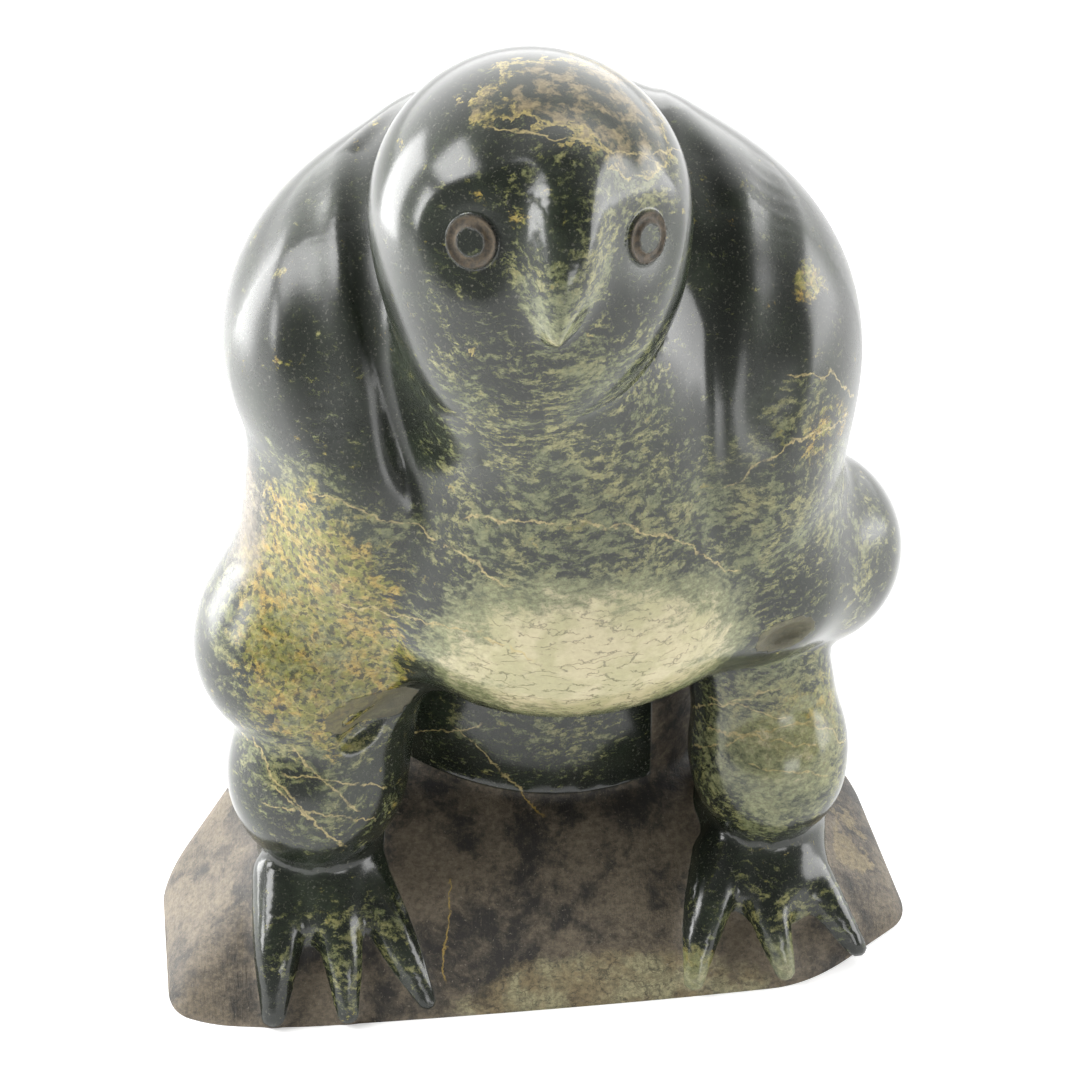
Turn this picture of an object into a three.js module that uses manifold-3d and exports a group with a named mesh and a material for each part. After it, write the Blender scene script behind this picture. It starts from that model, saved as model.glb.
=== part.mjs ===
// Carved stone bird crouching on a rough block, bird and block cut from one stone.
// Millimetres, +Z up, the bird looks towards -Y, the origin is under the middle of the block.
// The form is a signed distance field: rounded masses flow into each other, tool cuts are taken
// away, and one closed skin is laid over the result.
import * as THREE from 'three';
import { mergeVertices } from 'three/addons/utils/BufferGeometryUtils.js';
import { SimplifyModifier } from 'three/addons/modifiers/SimplifyModifier.js';
import Module from 'manifold-3d';

const STONE_COLOUR = 0x343a2c;
const STONE_ROUGHNESS = 0.3;

// The skin is laid on an even grid and then thinned out where the stone is nearly flat.
const GRID_STEP = 4;
const GRID_FROM = [-160, -128, -16];
const GRID_TO = [150, 100, 392];
const CLOSING_LEVEL = -6;
const SETTLE_STEPS = 3;
const SETTLE_LIMIT = 2;
const LEAST_SLOPE = 0.5;
const PROBE = 0.4;
const SKIN_VERTICES = 4420;

// Trunk: an upright barrel with a hump behind the head and two shoulders.
const TRUNK = [
  { centre: [7, 8, 232], radii: [99, 72, 94], blend: 0 },
  { centre: [10, 4, 188], radii: [90, 70, 76], blend: 30 },
  { centre: [-3, 14, 277], radii: [68, 52, 57], blend: 34 },
  { centre: [-70, 4, 260], radii: [36, 52, 50], lean: 28, blend: 20 },
  { centre: [71, 4, 255], radii: [36, 52, 50], lean: -28, blend: 20 },
  { centre: [-66, -12, 204], radii: [28, 54, 66], blend: 18 },
  { centre: [69, -10, 206], radii: [32, 56, 66], blend: 18 },
];
const BREAST = [
  { centre: [4, -28, 222], radii: [62, 63, 92], blend: 0 },
  { centre: [8, -34, 166], radii: [80, 56, 50], blend: 42 },
];
const BREAST_BLEND = 12;

// Front edge of each folded wing, seen along the carver's slanted cut: [height along the cut, x].
const CUT_SLOPE = 0.727;
const CUT_SKEW = 0.105;
const LEFT_EDGE = [
  [118, -30], [153, -40], [187, -50], [228, -59], [253, -64], [292, -67.5], [324, -67], [343, -54],
  [360, -40],
];
const RIGHT_EDGE = [
  [118, 71.6], [152, 64.6], [180, 61.5], [205, 61.6], [227, 63], [248, 65.6], [270, 67], [288, 66],
  [312, 57.6], [335, 45],
];
const LEFT_WING = { thickness: 5.5, rounding: 6 };
const RIGHT_WING = { thickness: 4.5, rounding: 11 };
const WING_BLEND = 8;
const WING_FADE = { start: 30, length: 50 };

// Wings folded over the back, parted by a wedge that opens towards the neck.
const BACK_WING = {
  thickness: 4, axis: 3, start: 22, fade: 30, top: 308, topFade: 30,
  gap: 5, opening: 0.22, foot: 150, tip: 158, tipSlope: 0.35, rounding: 4, blend: 3,
};

// Flutes cut down the face of each wing: path and radius.
const LEFT_FLUTE = {
  path: [[-86, 8, 325], [-88, -30, 313], [-89, -55, 289], [-88, -71, 252], [-84, -78, 232]],
  radii: [8, 14, 15, 13, 6], rounding: 10,
};
const RIGHT_FLUTE = {
  path: [[88, 4, 318], [86, -44, 304], [84, -66, 277], [79, -78, 252], [72, -84, 238]],
  radii: [6, 15, 16, 15, 8], rounding: 9,
};

// Swollen lower ends of the wings.
const LEFT_LOBE = { centre: [-87, -22, 124], radii: [41, 40, 33] };
const LEFT_SLEEVE = { from: [-74, -14, 186], to: [-84, -18, 140], radii: [33, 38], blend: 26 };
const LEFT_LOBE_BLEND = 20;
const RIGHT_LOBE = [
  { centre: [98, 0, 143], radii: [40, 42, 38], blend: 0 },
  { centre: [74, -30, 158], radii: [38, 40, 36], blend: 18 },
];
const RIGHT_LOBE_BLEND = 14;

// Head, cheeks, throat and beak.
const HEAD = { centre: [-8, -50, 325], radii: [54.5, 56, 54.4] };
const CHEEKS = { centre: [4, -54, 303], radii: [37, 43, 31], blend: 12 };
const THROAT = { centre: [-14, -62, 284], radii: [36, 38, 42], blend: 26 };
const NECK_BLEND = 3;
const BEAK = {
  path: [[-1, -83, 356], [-2, -93, 345], [-4, -101.5, 334], [-5.8, -109, 323], [-6.5, -113.2, 315.5]],
  radii: [13, 16, 14, 8.5, 4.2], blend: 12,
};
// Hollows cut down both sides of the beak.
const BEAK_SIDES = [
  {
    path: [[-18, -100, 362], [-24, -111, 344], [-22, -116, 329], [-15, -120, 314]],
    radii: [3, 8, 8, 5],
  },
  {
    path: [[20, -100, 360], [24, -112, 343], [17, -118.5, 328], [4, -121, 313]],
    radii: [3, 9, 9, 5],
  },
];
const BEAK_SIDE_ROUNDING = 12;
const EYES = [[-33, -97, 342], [28.5, -90.5, 336]];
const EYE_DISH = { offset: 62, radius: 66.4 };
const EYE_DISC = { radius: 9, sink: 2, depth: 12 };
const EYE_RING = { radius: 6.8, bar: 1.3 };
const EYE_SIDES = 24;
const RING_SIDES = 6;

// Legs, the hollows under the wings, and the tail column behind the legs.
const LEFT_LEG = {
  knee: { centre: [-89, -38, 76], radii: [32, 33, 34] },
  thigh: { from: [-80, -28, 118], to: [-86, -34, 84], radii: [34, 33], blend: 8 },
};
const RIGHT_LEG = {
  knee: { centre: [84, -38, 72], radii: [30, 32, 33] },
  thigh: { from: [80, -26, 116], to: [84, -34, 84], radii: [27, 28], blend: 8 },
};
const LEG_BLEND = 4;
const HOLLOWS = [
  { centre: [-57, -64, 123], radii: [25, 10, 8], lean: -30, rounding: 5 },
  { centre: [86, -74, 153], radii: [13, 10, 6.5], lean: -8, rounding: 1.5 },
];
const TAIL = { centre: [4, 26, 70], radii: [70, 54, 90], blend: 12 };

// Feet: an ankle and three toes each, running down the front slope of the block.
const ANKLES = [
  { from: [-87, -30, 46], to: [-86, -52, 26], radii: [26, 23] },
  { from: [83, -30, 42], to: [84, -52, 22], radii: [26, 22] },
];
const TOES = [
  { path: [[-103, -50, 39], [-107, -75, 24], [-110, -90, 5]], radii: [12, 9, 4.5] },
  { path: [[-86, -54, 38], [-83, -77, 24], [-82, -92, 5]], radii: [10.5, 8, 4] },
  { path: [[-72, -50, 36], [-62, -73, 23], [-52, -88, 5]], radii: [11, 7.8, 4] },
  { path: [[66, -50, 33], [56, -73, 22], [50, -89, 6]], radii: [12, 8.2, 3.8] },
  { path: [[81, -54, 31], [81.5, -74, 21], [85.5, -87, 6]], radii: [10, 7.5, 3.8] },
  { path: [[95, -50, 29], [104, -65, 20], [115, -77, 6]], radii: [10.5, 7.5, 3.8] },
];
const FOOT_BLEND = 3;
const TOE_SEAT = 2.5;
const BLOCK_BLEND = 3;

// Block under the bird: flat cuts given by a point and an outward direction.
const BLOCK_ROUNDING = 8;
const BLOCK_CUTS = [
  { point: [-10, -28, 51], outward: [0.08, -0.62, 1] },
  { point: [10, -95, 0], outward: [0.05, -1, 0.8] },
  { point: [10, -95, 0], outward: [-0.02, -1, 0.8] },
  { point: [-10, -28, 53], outward: [0.08, 0, 1] },
  { point: [-128, -91, 0], outward: [-0.3, -0.8, 1] },
  { point: [-141, -88, 0], outward: [-0.8, -1, 0.3] },
  { point: [-150, -40, 0], outward: [-1, -0.02, 0.1] },
  { point: [-148, -40, 9], outward: [-0.81, 0, 1] },
  { point: [-149, -5, 8], outward: [-1, 0.85, 0.2] },
  { point: [122, -69, 0], outward: [0.75, -1, 0.5] },
  { point: [137, -30, 0], outward: [1, 0.12, 0.2] },
  { point: [134, -30, 10], outward: [0.6, -0.1, 1] },
  { point: [134, 16, 0], outward: [1, 0.9, 0.3] },
  { point: [0, 86, 0], outward: [0.05, 1, 0.25] },
];

const TUBE_STEPS = 3;

// Union and intersection of two distances with a fillet about as wide as blend.
function join(a, b, blend) {
  if (blend <= 0) return Math.min(a, b);
  const h = THREE.MathUtils.clamp(0.5 + 0.5 * (b - a) / blend, 0, 1);
  return b + (a - b) * h - blend * h * (1 - h);
}

function trim(a, b, blend) {
  return -join(-a, -b, blend);
}

function carve(a, tool, rounding) {
  return trim(a, -tool, rounding);
}

// Distance to an ellipsoid, leaning about the Y axis by lean degrees.
function ellipsoid(p, { centre, radii, lean = 0 }) {
  let dx = p[0] - centre[0];
  const dy = p[1] - centre[1];
  let dz = p[2] - centre[2];
  if (lean !== 0) {
    const angle = THREE.MathUtils.degToRad(lean);
    const c = Math.cos(angle);
    const s = Math.sin(angle);
    [dx, dz] = [c * dx - s * dz, s * dx + c * dz];
  }
  const near = Math.hypot(dx / radii[0], dy / radii[1], dz / radii[2]);
  const far = Math.hypot(dx / radii[0] ** 2, dy / radii[1] ** 2, dz / radii[2] ** 2);
  return near * (near - 1) / Math.max(far, 1e-6);
}

// Distance to a round bar that tapers from one end to the other.
function taper(p, { from, to, radii }) {
  const d = [to[0] - from[0], to[1] - from[1], to[2] - from[2]];
  const q = [p[0] - from[0], p[1] - from[1], p[2] - from[2]];
  const along = (q[0] * d[0] + q[1] * d[1] + q[2] * d[2]) / (d[0] ** 2 + d[1] ** 2 + d[2] ** 2);
  const t = THREE.MathUtils.clamp(along, 0, 1);
  const off = Math.hypot(q[0] - t * d[0], q[1] - t * d[1], q[2] - t * d[2]);
  return off - (radii[0] + (radii[1] - radii[0]) * t);
}

// Short tapered bars along a smooth curve through the path; the radius follows its own curve.
function barsAlong({ path, radii }) {
  const smooth = (points) => new THREE.CatmullRomCurve3(points, false, 'catmullrom', 0.5);
  const steps = TUBE_STEPS * (path.length - 1);
  const centres = smooth(path.map((q) => new THREE.Vector3(...q))).getPoints(steps);
  const sizes = smooth(radii.map((r) => new THREE.Vector3(r, 0, 0))).getPoints(steps);
  const bars = [];
  for (let i = 0; i < steps; i += 1) {
    bars.push({
      from: centres[i].toArray(),
      to: centres[i + 1].toArray(),
      radii: [sizes[i].x, sizes[i + 1].x],
    });
  }
  return bars;
}

function nearestBar(p, bars) {
  return bars.reduce((best, bar) => Math.min(best, taper(p, bar)), Infinity);
}

function joinMasses(p, masses) {
  return masses.reduce((d, mass) => join(d, ellipsoid(p, mass), mass.blend), Infinity);
}

// Value of a table of [position, value] pairs, held at both ends.
function lookUp(table, position) {
  if (position <= table[0][0]) return table[0][1];
  for (let i = 1; i < table.length; i += 1) {
    const [x0, y0] = table[i - 1];
    const [x1, y1] = table[i];
    if (position <= x1) return y0 + (y1 - y0) * (position - x0) / (x1 - x0);
  }
  return table[table.length - 1][1];
}

const fraction = (value) => THREE.MathUtils.clamp(value, 0, 1);

// The folded wings are a second layer over the trunk that stops in a step at the wing's edge.
function addWings(p, d, trunk) {
  const [x, y, z] = p;
  const height = z + CUT_SLOPE * y;
  const side = x - CUT_SKEW * y;
  const fade = fraction((WING_FADE.start - y) / WING_FADE.length);
  const left = trim(
    trunk - LEFT_WING.thickness * fade, side - lookUp(LEFT_EDGE, height), LEFT_WING.rounding);
  const right = trim(
    trunk - RIGHT_WING.thickness * fade, lookUp(RIGHT_EDGE, height) - side, RIGHT_WING.rounding);
  const w = BACK_WING;
  const reach = Math.abs(x - w.axis);
  const rise = w.thickness * fraction((y - w.start) / w.fade) * fraction((w.top - z) / w.topFade);
  const parting = w.gap + w.opening * Math.max(z - w.foot, 0) - reach;
  const tips = w.tip - w.tipSlope * reach - z;
  const back = trim(trim(trunk - rise, parting, w.rounding), tips, w.rounding);
  return join(join(d, Math.min(left, right), WING_BLEND), back, w.blend);
}

function leg(p, { knee, thigh }) {
  return join(ellipsoid(p, knee), taper(p, thigh), thigh.blend);
}

function block(p) {
  let d = -Infinity;
  for (const { point, outward } of BLOCK_CUTS) {
    const length = Math.hypot(...outward);
    const off = [0, 1, 2].reduce((sum, k) => sum + (p[k] - point[k]) * outward[k], 0) / length;
    d = d === -Infinity ? off : trim(d, off, BLOCK_ROUNDING);
  }
  return d;
}

const leftFlute = barsAlong(LEFT_FLUTE);
const rightFlute = barsAlong(RIGHT_FLUTE);
const beak = barsAlong(BEAK);
const beakSides = BEAK_SIDES.flatMap((side) => barsAlong(side));
const toes = TOES.flatMap((toe) => barsAlong(toe));

// Signed distance to the whole carving, negative inside the stone.
function carving(p) {
  const trunk = joinMasses(p, TRUNK);
  let d = join(trunk, joinMasses(p, BREAST), BREAST_BLEND);
  d = addWings(p, d, trunk);
  const leftLobe = join(ellipsoid(p, LEFT_LOBE), taper(p, LEFT_SLEEVE), LEFT_SLEEVE.blend);
  d = join(d, leftLobe, LEFT_LOBE_BLEND);
  d = join(d, joinMasses(p, RIGHT_LOBE), RIGHT_LOBE_BLEND);
  d = carve(d, nearestBar(p, leftFlute), LEFT_FLUTE.rounding);
  d = carve(d, nearestBar(p, rightFlute), RIGHT_FLUTE.rounding);
  d = join(d, join(ellipsoid(p, HEAD), ellipsoid(p, CHEEKS), CHEEKS.blend), NECK_BLEND);
  d = join(d, ellipsoid(p, THROAT), THROAT.blend);
  d = join(d, nearestBar(p, beak), BEAK.blend);
  d = carve(d, nearestBar(p, beakSides), BEAK_SIDE_ROUNDING);
  d = join(d, ellipsoid(p, TAIL), TAIL.blend);
  d = join(d, Math.min(leg(p, LEFT_LEG), leg(p, RIGHT_LEG)), LEG_BLEND);
  for (const hollow of HOLLOWS) d = carve(d, ellipsoid(p, hollow), hollow.rounding);
  const feet = join(
    Math.min(...ANKLES.map((ankle) => taper(p, ankle))), nearestBar(p, toes), FOOT_BLEND);
  return join(d, join(block(p), feet, TOE_SEAT), BLOCK_BLEND);
}

function closedCarving(p) {
  return Math.max(carving(p), CLOSING_LEVEL - p[2]);
}

// Moves a point along the field's slope until it lies on the surface.
function settle(point) {
  const p = [...point];
  for (let n = 0; n < SETTLE_STEPS; n += 1) {
    const value = closedCarving(p);
    const slope = [0, 1, 2].map((k) => {
      const ahead = [...p];
      const behind = [...p];
      ahead[k] += PROBE;
      behind[k] -= PROBE;
      return (closedCarving(ahead) - closedCarving(behind)) / (2 * PROBE);
    });
    const steep = Math.max(Math.hypot(...slope), LEAST_SLOPE);
    const move = THREE.MathUtils.clamp(value / steep ** 2, -SETTLE_LIMIT, SETTLE_LIMIT);
    for (let k = 0; k < 3; k += 1) p[k] -= move * slope[k];
  }
  return p;
}

// A grid cell: its eight corners, the twelve edges between them, and the four edges of each face.
const CORNERS = [0, 1, 2, 3, 4, 5, 6, 7].map((n) => [n & 1, (n >> 1) & 1, n >> 2]);
const EDGES = [];
for (let a = 0; a < 8; a += 1) {
  for (const bit of [1, 2, 4]) {
    if ((a & bit) === 0) EDGES.push([a, a | bit]);
  }
}
const FACES = [];
for (let axis = 0; axis < 3; axis += 1) {
  for (const side of [0, 1]) {
    const onFace = (corner) => CORNERS[corner][axis] === side;
    FACES.push(EDGES.map((edge, n) => n).filter((n) => EDGES[n].every(onFace)));
  }
}

// Sorts a cell's crossed edges into the separate sheets of surface that pass through the cell.
function sheetsOf(values) {
  const crossed = EDGES.map(([a, b]) => (values[a] < 0) !== (values[b] < 0));
  const label = EDGES.map((edge, n) => n);
  const merge = (m, n) => {
    const [keep, drop] = [label[m], label[n]];
    for (let k = 0; k < label.length; k += 1) {
      if (label[k] === drop) label[k] = keep;
    }
  };
  for (const face of FACES) {
    const cut = face.filter((n) => crossed[n]);
    for (const m of cut) {
      for (const n of cut) {
        const shared = EDGES[m].find((corner) => EDGES[n].includes(corner));
        const meet = cut.length === 2 || (shared !== undefined && values[shared] < 0);
        if (m < n && meet) merge(m, n);
      }
    }
  }
  return label.map((sheet, n) => (crossed[n] ? sheet : -1));
}

// Closed skin of the field: one vertex for each sheet in a cell, one quad across each grid edge
// that the surface crosses.
function skin() {
  const [nx, ny, nz] = GRID_FROM.map((from, m) => Math.ceil((GRID_TO[m] - from) / GRID_STEP) + 1);
  const at = (i, j, k) => (i * ny + j) * nz + k;
  const place = (i, j, k) => [i, j, k].map((n, m) => GRID_FROM[m] + n * GRID_STEP);
  const field = new Float64Array(nx * ny * nz);
  for (let i = 0; i < nx; i += 1) {
    for (let j = 0; j < ny; j += 1) {
      for (let k = 0; k < nz; k += 1) field[at(i, j, k)] = closedCarving(place(i, j, k));
    }
  }
  const vertexOf = new Map();
  const positions = [];
  for (let i = 0; i < nx - 1; i += 1) {
    for (let j = 0; j < ny - 1; j += 1) {
      for (let k = 0; k < nz - 1; k += 1) {
        const values = CORNERS.map(([a, b, c]) => field[at(i + a, j + b, k + c)]);
        const inside = values.filter((value) => value < 0).length;
        if (inside === 0 || inside === 8) continue;
        const sheets = sheetsOf(values);
        for (const sheet of new Set(sheets.filter((n) => n >= 0))) {
          const sum = new THREE.Vector3();
          let crossings = 0;
          EDGES.forEach(([a, b], n) => {
            if (sheets[n] !== sheet) return;
            const t = values[a] / (values[a] - values[b]);
            const start = new THREE.Vector3(...CORNERS[a]);
            sum.add(start.lerp(new THREE.Vector3(...CORNERS[b]), t));
            crossings += 1;
            vertexOf.set(at(i, j, k) * EDGES.length + n, positions.length / 3);
          });
          sum.multiplyScalar(1 / crossings);
          positions.push(...settle(place(i + sum.x, j + sum.y, k + sum.z)));
        }
      }
    }
  }
  const edgeNumber = (a, b) => EDGES.findIndex((edge) => edge[0] === a && edge[1] === b);
  const indices = [];
  const addQuad = (flip, cells) => {
    const ring = cells.map(([cell, a, b]) => vertexOf.get(cell * EDGES.length + edgeNumber(a, b)));
    const [a, b, c, d] = flip ? ring.reverse() : ring;
    indices.push(a, b, c, a, c, d);
  };
  for (let i = 1; i < nx - 1; i += 1) {
    for (let j = 1; j < ny - 1; j += 1) {
      for (let k = 1; k < nz - 1; k += 1) {
        const here = field[at(i, j, k)] < 0;
        const cell = (di, dj, dk) => at(i - di, j - dj, k - dk);
        if (here !== (field[at(i + 1, j, k)] < 0)) {
          addQuad(!here, [
            [cell(0, 1, 1), 6, 7], [cell(0, 0, 1), 4, 5], [cell(0, 0, 0), 0, 1], [cell(0, 1, 0), 2, 3],
          ]);
        }
        if (here !== (field[at(i, j + 1, k)] < 0)) {
          addQuad(!here, [
            [cell(1, 0, 1), 5, 7], [cell(1, 0, 0), 1, 3], [cell(0, 0, 0), 0, 2], [cell(0, 0, 1), 4, 6],
          ]);
        }
        if (here !== (field[at(i, j, k + 1)] < 0)) {
          addQuad(!here, [
            [cell(1, 1, 0), 3, 7], [cell(0, 1, 0), 2, 6], [cell(0, 0, 0), 0, 4], [cell(1, 0, 0), 1, 5],
          ]);
        }
      }
    }
  }
  const geometry = new THREE.BufferGeometry();
  geometry.setAttribute('position', new THREE.Float32BufferAttribute(positions, 3));
  geometry.setIndex(indices);
  return geometry;
}

const wasm = await Module();
wasm.setup();

function solidOf(geometry) {
  const bare = geometry.clone();
  bare.deleteAttribute('normal');
  bare.deleteAttribute('uv');
  const merged = mergeVertices(bare);
  return new wasm.Manifold(new wasm.Mesh({
    numProp: 3,
    vertProperties: Float32Array.from(merged.attributes.position.array),
    triVerts: Uint32Array.from(merged.index.array),
  }));
}

function geometryOf(solid) {
  const mesh = solid.getMesh();
  const geometry = new THREE.BufferGeometry();
  geometry.setAttribute('position', new THREE.Float32BufferAttribute(mesh.vertProperties, 3));
  geometry.setIndex(Array.from(mesh.triVerts));
  geometry.computeVertexNormals();
  return geometry;
}

// Each eye is a flat disc left standing in a shallow dish, with a ring cut round its pupil.
function cutEyes(head) {
  const upright = new THREE.Vector3(0, 1, 0);
  return EYES.reduce((stone, eye) => {
    const outward = new THREE.Vector3(...eye).sub(new THREE.Vector3(...HEAD.centre));
    const face = outward.length() - EYE_DISC.sink;
    const turn = new THREE.Quaternion().setFromUnitVectors(upright, outward.clone().normalize());
    const placed = (geometry, along) => solidOf(
      geometry.translate(0, along, 0).applyQuaternion(turn).translate(...HEAD.centre));
    const dish = new THREE.SphereGeometry(EYE_DISH.radius, EYE_SIDES, EYE_SIDES);
    const disc = new THREE.CylinderGeometry(
      EYE_DISC.radius, EYE_DISC.radius, EYE_DISC.depth, EYE_SIDES);
    const ring = new THREE.TorusGeometry(EYE_RING.radius, EYE_RING.bar, RING_SIDES, EYE_SIDES);
    ring.rotateX(Math.PI / 2);
    return stone.subtract(placed(dish, outward.length() + EYE_DISH.offset))
      .add(placed(disc, face - EYE_DISC.depth / 2))
      .subtract(placed(ring, face));
  }, head);
}

// The underside is sawn flat at z = 0.
const SAW_SIZE = 400;
const saw = new THREE.BoxGeometry(SAW_SIZE, SAW_SIZE, SAW_SIZE);
saw.translate(0, 0, -SAW_SIZE / 2);
const fineSkin = skin();
const surplus = fineSkin.attributes.position.count - SKIN_VERTICES;
const thinSkin = await new SimplifyModifier().modify(fineSkin, surplus);
const stone = cutEyes(solidOf(thinSkin).subtract(solidOf(saw)));

const material = new THREE.MeshStandardMaterial({
  color: STONE_COLOUR, roughness: STONE_ROUGHNESS, metalness: 0,
});
const bird = new THREE.Mesh(geometryOf(stone), material);
bird.name = 'bird_carving';

const group = new THREE.Group();
group.add(bird);

export default group;
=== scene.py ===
"""Looks of the carved stone bird: one finely meshed carving with a polished, veined stone finish."""

import math

import bmesh
import bpy
import numpy as np
from mathutils import Matrix, Vector


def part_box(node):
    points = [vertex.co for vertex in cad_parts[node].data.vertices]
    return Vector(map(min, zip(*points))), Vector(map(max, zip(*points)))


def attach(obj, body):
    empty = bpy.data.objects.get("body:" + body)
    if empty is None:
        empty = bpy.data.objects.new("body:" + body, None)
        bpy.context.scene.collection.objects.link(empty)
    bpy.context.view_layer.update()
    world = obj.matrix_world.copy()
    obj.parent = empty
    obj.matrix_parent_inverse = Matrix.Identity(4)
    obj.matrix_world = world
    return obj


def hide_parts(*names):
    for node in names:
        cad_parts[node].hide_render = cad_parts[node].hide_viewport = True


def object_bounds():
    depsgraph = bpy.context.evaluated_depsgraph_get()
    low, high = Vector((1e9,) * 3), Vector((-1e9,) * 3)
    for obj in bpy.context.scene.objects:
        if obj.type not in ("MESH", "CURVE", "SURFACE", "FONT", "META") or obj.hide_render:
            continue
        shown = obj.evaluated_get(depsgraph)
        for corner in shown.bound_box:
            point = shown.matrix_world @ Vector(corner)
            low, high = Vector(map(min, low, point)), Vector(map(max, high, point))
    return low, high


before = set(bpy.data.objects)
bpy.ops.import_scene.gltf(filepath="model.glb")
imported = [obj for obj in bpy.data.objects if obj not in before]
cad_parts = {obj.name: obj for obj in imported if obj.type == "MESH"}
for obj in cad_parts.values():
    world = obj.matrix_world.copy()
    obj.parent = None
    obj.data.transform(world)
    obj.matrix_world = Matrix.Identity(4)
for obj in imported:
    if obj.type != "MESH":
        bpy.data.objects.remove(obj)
cad_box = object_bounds()

MM = 0.001
NODE = "bird_carving"

# ---------------------------------------------------------------- sizes of the carving, millimetres
# The same masses, cuts and edges as the solid has, laid with a finer skin.
SKIN_STEP = 2.4
COARSE = 4
COARSE_CELLS_NEAR = 2.2
SKIN_MARGIN = 6
SETTLE_STEPS = 3
SETTLE_LIMIT = 1.5
LEAST_SLOPE = 0.25
PROBE = 0.3
SAW_WELD = 0.01
SAWN_HEIGHT = 0.02

TRUNK = [
    dict(centre=(7, 8, 232), radii=(99, 72, 94), blend=0),
    dict(centre=(10, 4, 188), radii=(90, 70, 76), blend=30),
    dict(centre=(-3, 14, 277), radii=(68, 52, 57), blend=34),
    dict(centre=(-70, 4, 260), radii=(36, 52, 50), lean=28, blend=20),
    dict(centre=(71, 4, 255), radii=(36, 52, 50), lean=-28, blend=20),
    dict(centre=(-66, -12, 204), radii=(28, 54, 66), blend=18),
    dict(centre=(69, -10, 206), radii=(32, 56, 66), blend=18),
]
BREAST = [
    dict(centre=(4, -28, 222), radii=(62, 63, 92), blend=0),
    dict(centre=(8, -34, 166), radii=(80, 56, 50), blend=42),
]
BREAST_BLEND = 12

# Each wing's edge: its height and its side, both followed along one slanting cut from the front.
CUT_SLOPE = 0.727
CUT_SKEW = 0.105
LEFT_EDGE = [
    (118, -30), (153, -40), (187, -50), (228, -59), (253, -64), (292, -67.5), (324, -67), (343, -54),
    (360, -40),
]
RIGHT_EDGE = [
    (118, 71.6), (152, 64.6), (180, 61.5), (205, 61.6), (227, 63), (248, 65.6), (270, 67), (288, 66),
    (312, 57.6), (335, 45),
]
LEFT_WING = dict(thickness=5.5, rounding=6)
RIGHT_WING = dict(thickness=4.5, rounding=11)
WING_BLEND = 8
WING_FADE = dict(start=30, length=50)
BACK_WING = dict(
    thickness=4, axis=3, start=22, fade=30, top=308, top_fade=30,
    gap=5, opening=0.22, foot=150, tip=158, tip_slope=0.35, rounding=4, blend=3,
)

LEFT_FLUTE = dict(
    path=[(-86, 8, 325), (-88, -30, 313), (-89, -55, 289), (-88, -71, 252), (-84, -78, 232)],
    radii=[8, 14, 15, 13, 6], rounding=10,
)
RIGHT_FLUTE = dict(
    path=[(88, 4, 318), (86, -44, 304), (84, -66, 277), (79, -78, 252), (72, -84, 238)],
    radii=[6, 15, 16, 15, 8], rounding=9,
)

LEFT_LOBE = dict(centre=(-87, -22, 124), radii=(41, 40, 33))
LEFT_SLEEVE = dict(start=(-74, -14, 186), end=(-84, -18, 140), radii=(33, 38), blend=26)
LEFT_LOBE_BLEND = 20
RIGHT_LOBE = [
    dict(centre=(98, 0, 143), radii=(40, 42, 38), blend=0),
    dict(centre=(74, -30, 158), radii=(38, 40, 36), blend=18),
]
RIGHT_LOBE_BLEND = 14

HEAD = dict(centre=(-8, -50, 325), radii=(54.5, 56, 54.4))
CHEEKS = dict(centre=(4, -54, 303), radii=(37, 43, 31), blend=12)
THROAT = dict(centre=(-14, -62, 284), radii=(36, 38, 42), blend=26)
NECK_BLEND = 3
BEAK = dict(
    path=[(-1, -83, 356), (-2, -93, 345), (-4, -101.5, 334), (-5.8, -109, 323), (-6.5, -113.2, 315.5)],
    radii=[13, 16, 14, 8.5, 4.2], blend=12,
)
BEAK_SIDES = [
    dict(path=[(-18, -100, 362), (-24, -111, 344), (-22, -116, 329), (-15, -120, 314)],
         radii=[3, 8, 8, 5]),
    dict(path=[(20, -100, 360), (24, -112, 343), (17, -118.5, 328), (4, -121, 313)],
         radii=[3, 9, 9, 5]),
]
BEAK_SIDE_ROUNDING = 12
EYES = [(-33, -97, 342), (28.5, -90.5, 336)]
EYE_DISH = dict(offset=62, radius=66.4, rounding=4)
EYE_DISC = dict(radius=9, sink=2, depth=12, rounding=1.5, blend=1)
EYE_RING = dict(radius=6.8, bar=1.3, rounding=0.8)

LEFT_LEG = dict(
    knee=dict(centre=(-89, -38, 76), radii=(32, 33, 34)),
    thigh=dict(start=(-80, -28, 118), end=(-86, -34, 84), radii=(34, 33), blend=8),
)
RIGHT_LEG = dict(
    knee=dict(centre=(84, -38, 72), radii=(30, 32, 33)),
    thigh=dict(start=(80, -26, 116), end=(84, -34, 84), radii=(27, 28), blend=8),
)
LEG_BLEND = 4
HOLLOWS = [
    dict(centre=(-57, -64, 123), radii=(25, 10, 8), lean=-30, rounding=5),
    dict(centre=(86, -74, 153), radii=(13, 10, 6.5), lean=-8, rounding=1.5),
]
TAIL = dict(centre=(4, 26, 70), radii=(70, 54, 90), blend=12)

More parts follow.
